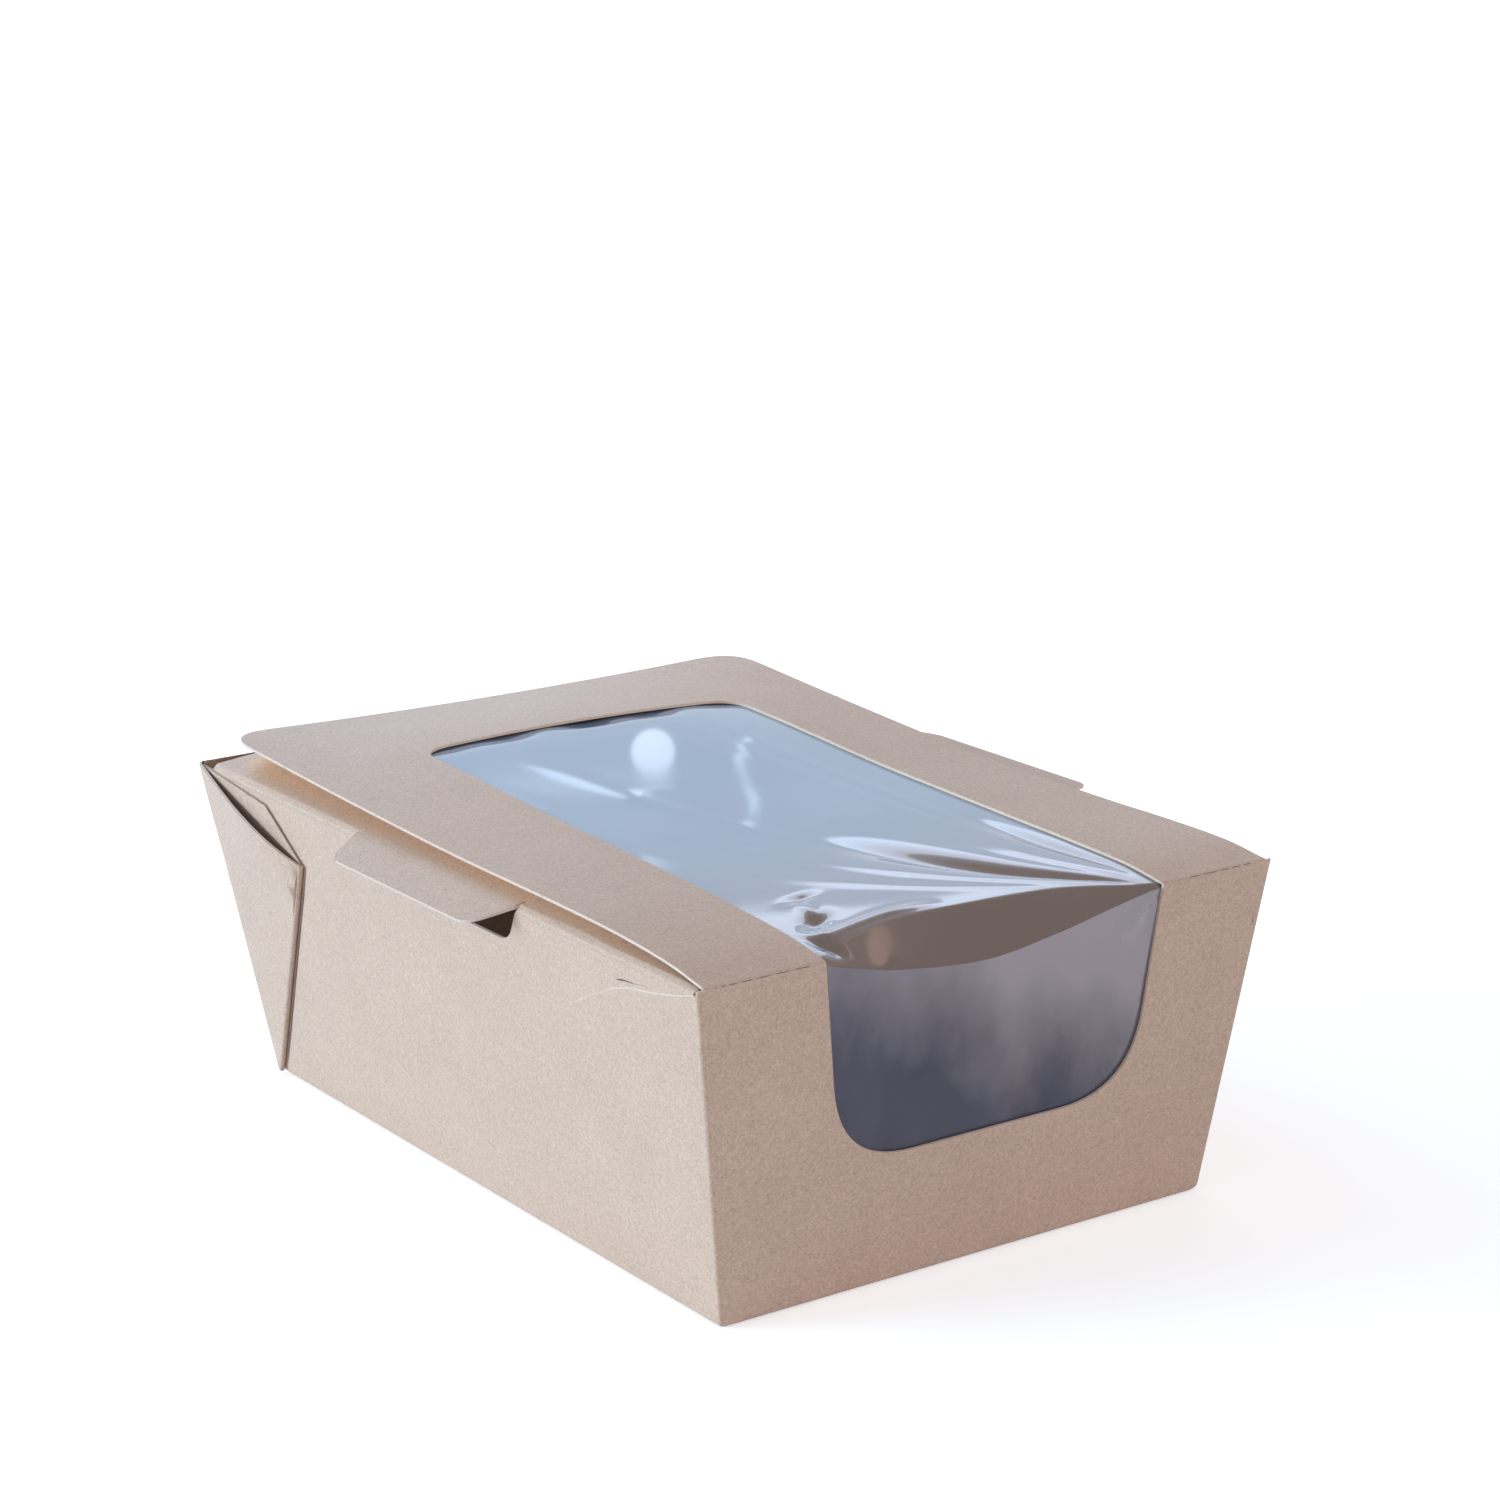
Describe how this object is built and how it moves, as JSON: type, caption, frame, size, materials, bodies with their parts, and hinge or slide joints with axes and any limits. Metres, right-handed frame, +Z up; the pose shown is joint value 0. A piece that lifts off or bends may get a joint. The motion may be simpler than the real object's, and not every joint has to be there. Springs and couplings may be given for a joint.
{
  "type": "hot food box",
  "caption": "Folded kraft board takeaway box with flared walls, a hinged lid and a clear film window over the lid and front wall.",
  "frame": {"origin": "on the floor, at the middle of the box's outline seen from above", "axes": "+Z up, -Y towards the window end where the lid is hinged, +X to the right of someone facing the window end"},
  "size_m": [0.1314, 0.167, 0.0679],
  "materials": {
    "kraft_board": "uncoated kraft, matt with fine fibres",
    "clear_film": "clear gloss film"
  },
  "bodies": {
    "tray": {"tray": "kraft_board", "front_window_film": "clear_film"},
    "lid": {"lid": "kraft_board", "lid_window_film": "clear_film"}
  },
  "joints": [
    {"name": "lid_hinge", "type": "hinge", "parent": "tray", "child": "lid", "pos_m": [0, -0.0835, 0.0607], "axis": [1, 0, 0], "range_deg": [0, 95]}
  ]
}
